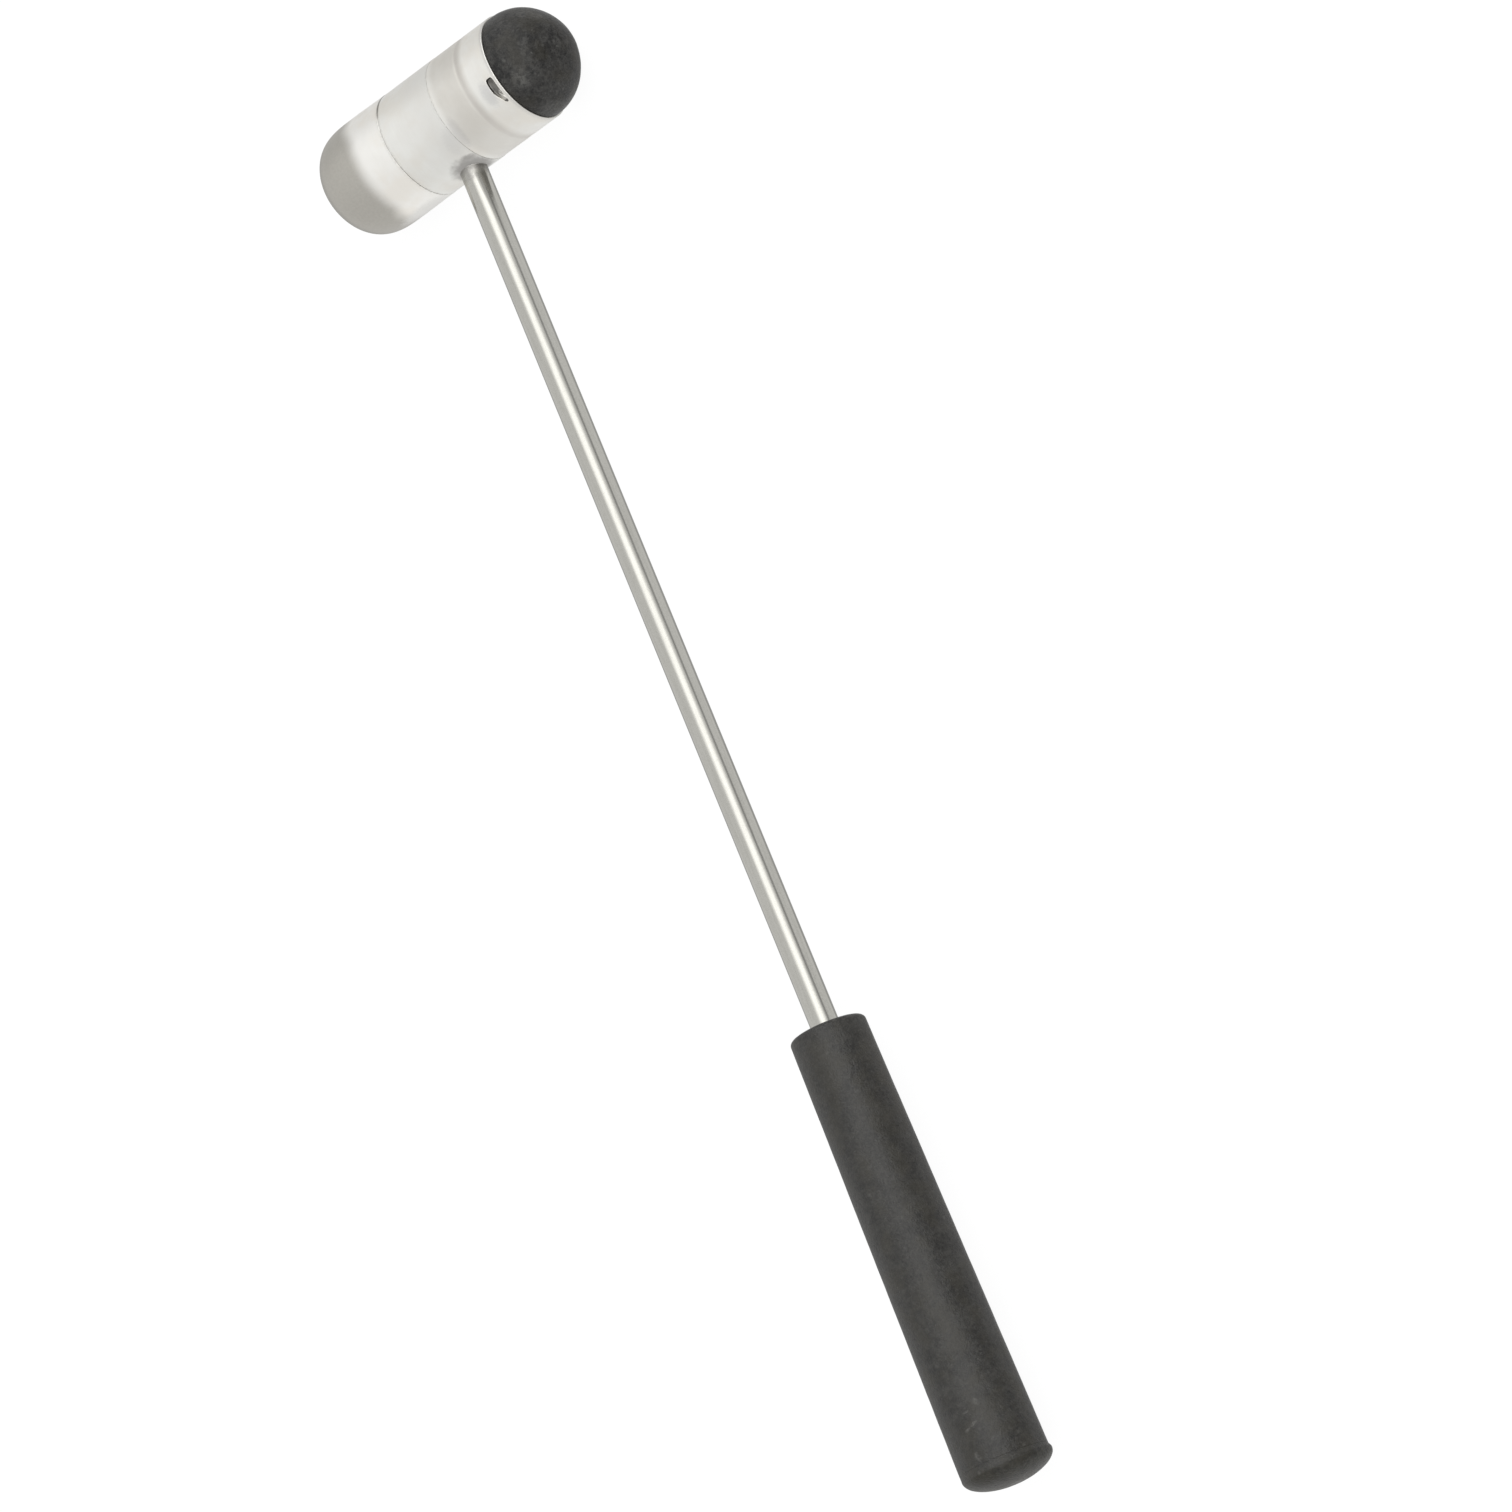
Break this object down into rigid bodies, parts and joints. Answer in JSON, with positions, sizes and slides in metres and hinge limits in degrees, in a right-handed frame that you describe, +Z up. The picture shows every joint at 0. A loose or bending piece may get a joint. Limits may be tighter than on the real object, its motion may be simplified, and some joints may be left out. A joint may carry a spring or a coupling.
{
  "type": "tuning fork hammer",
  "caption": "Small hammer for sounding a tuning fork: chromed head with a screwed-on metal dome and a rubber dome in a screwed-on sleeve, on a thin rod with a tapered rubber grip.",
  "frame": {"origin": "on the surface that the hammer lies on, under the middle of its bounding box", "axes": "+X along the head's axis towards the rubber tip, +Y along the rod from the grip towards the head, +Z up from the surface"},
  "size_m": [0.056, 0.2664, 0.021],
  "materials": {
    "cap_chrome": "polished chrome plate, faintly satin",
    "head_chrome": "polished chrome plate",
    "rod_chrome": "polished chrome plate with fine drawing marks",
    "thread_steel": "plain turned steel",
    "tip_rubber": "moulded black rubber, satin",
    "grip_rubber": "moulded black rubber, matte with a fine grain"
  },
  "bodies": {
    "handle": {"head_hub": "head_chrome", "shaft": "rod_chrome", "grip_sleeve": "grip_rubber", "grip_end_plug": "grip_rubber"},
    "cap_thread": {"cap_stud": "thread_steel"},
    "cap": {"striking_cap": "cap_chrome"},
    "tip_thread": {"tip_backing_disc": "thread_steel"},
    "tip": {"tip_sleeve": "head_chrome", "rubber_tip": "tip_rubber"}
  },
  "joints": [
    {"name": "cap_turn", "type": "hinge", "parent": "handle", "child": "cap_thread", "pos_m": [-0.00835, 0.12275, 0.0105], "axis": [-1, 0, 0], "range_deg": [0, 1800]},
    {"name": "cap_advance", "type": "slide", "parent": "cap_thread", "child": "cap", "axis": [-1, 0, 0], "range_m": [0, 0.005]},
    {"name": "tip_turn", "type": "hinge", "parent": "handle", "child": "tip_thread", "pos_m": [0.0041, 0.12275, 0.0105], "axis": [1, 0, 0], "range_deg": [0, 1800]},
    {"name": "tip_advance", "type": "slide", "parent": "tip_thread", "child": "tip", "axis": [1, 0, 0], "range_m": [0, 0.005]}
  ],
  "couplings": [
    {"joint": "cap_turn", "follows": "cap_advance", "rad_per_m": 6283.2},
    {"joint": "tip_turn", "follows": "tip_advance", "rad_per_m": 6283.2}
  ]
}
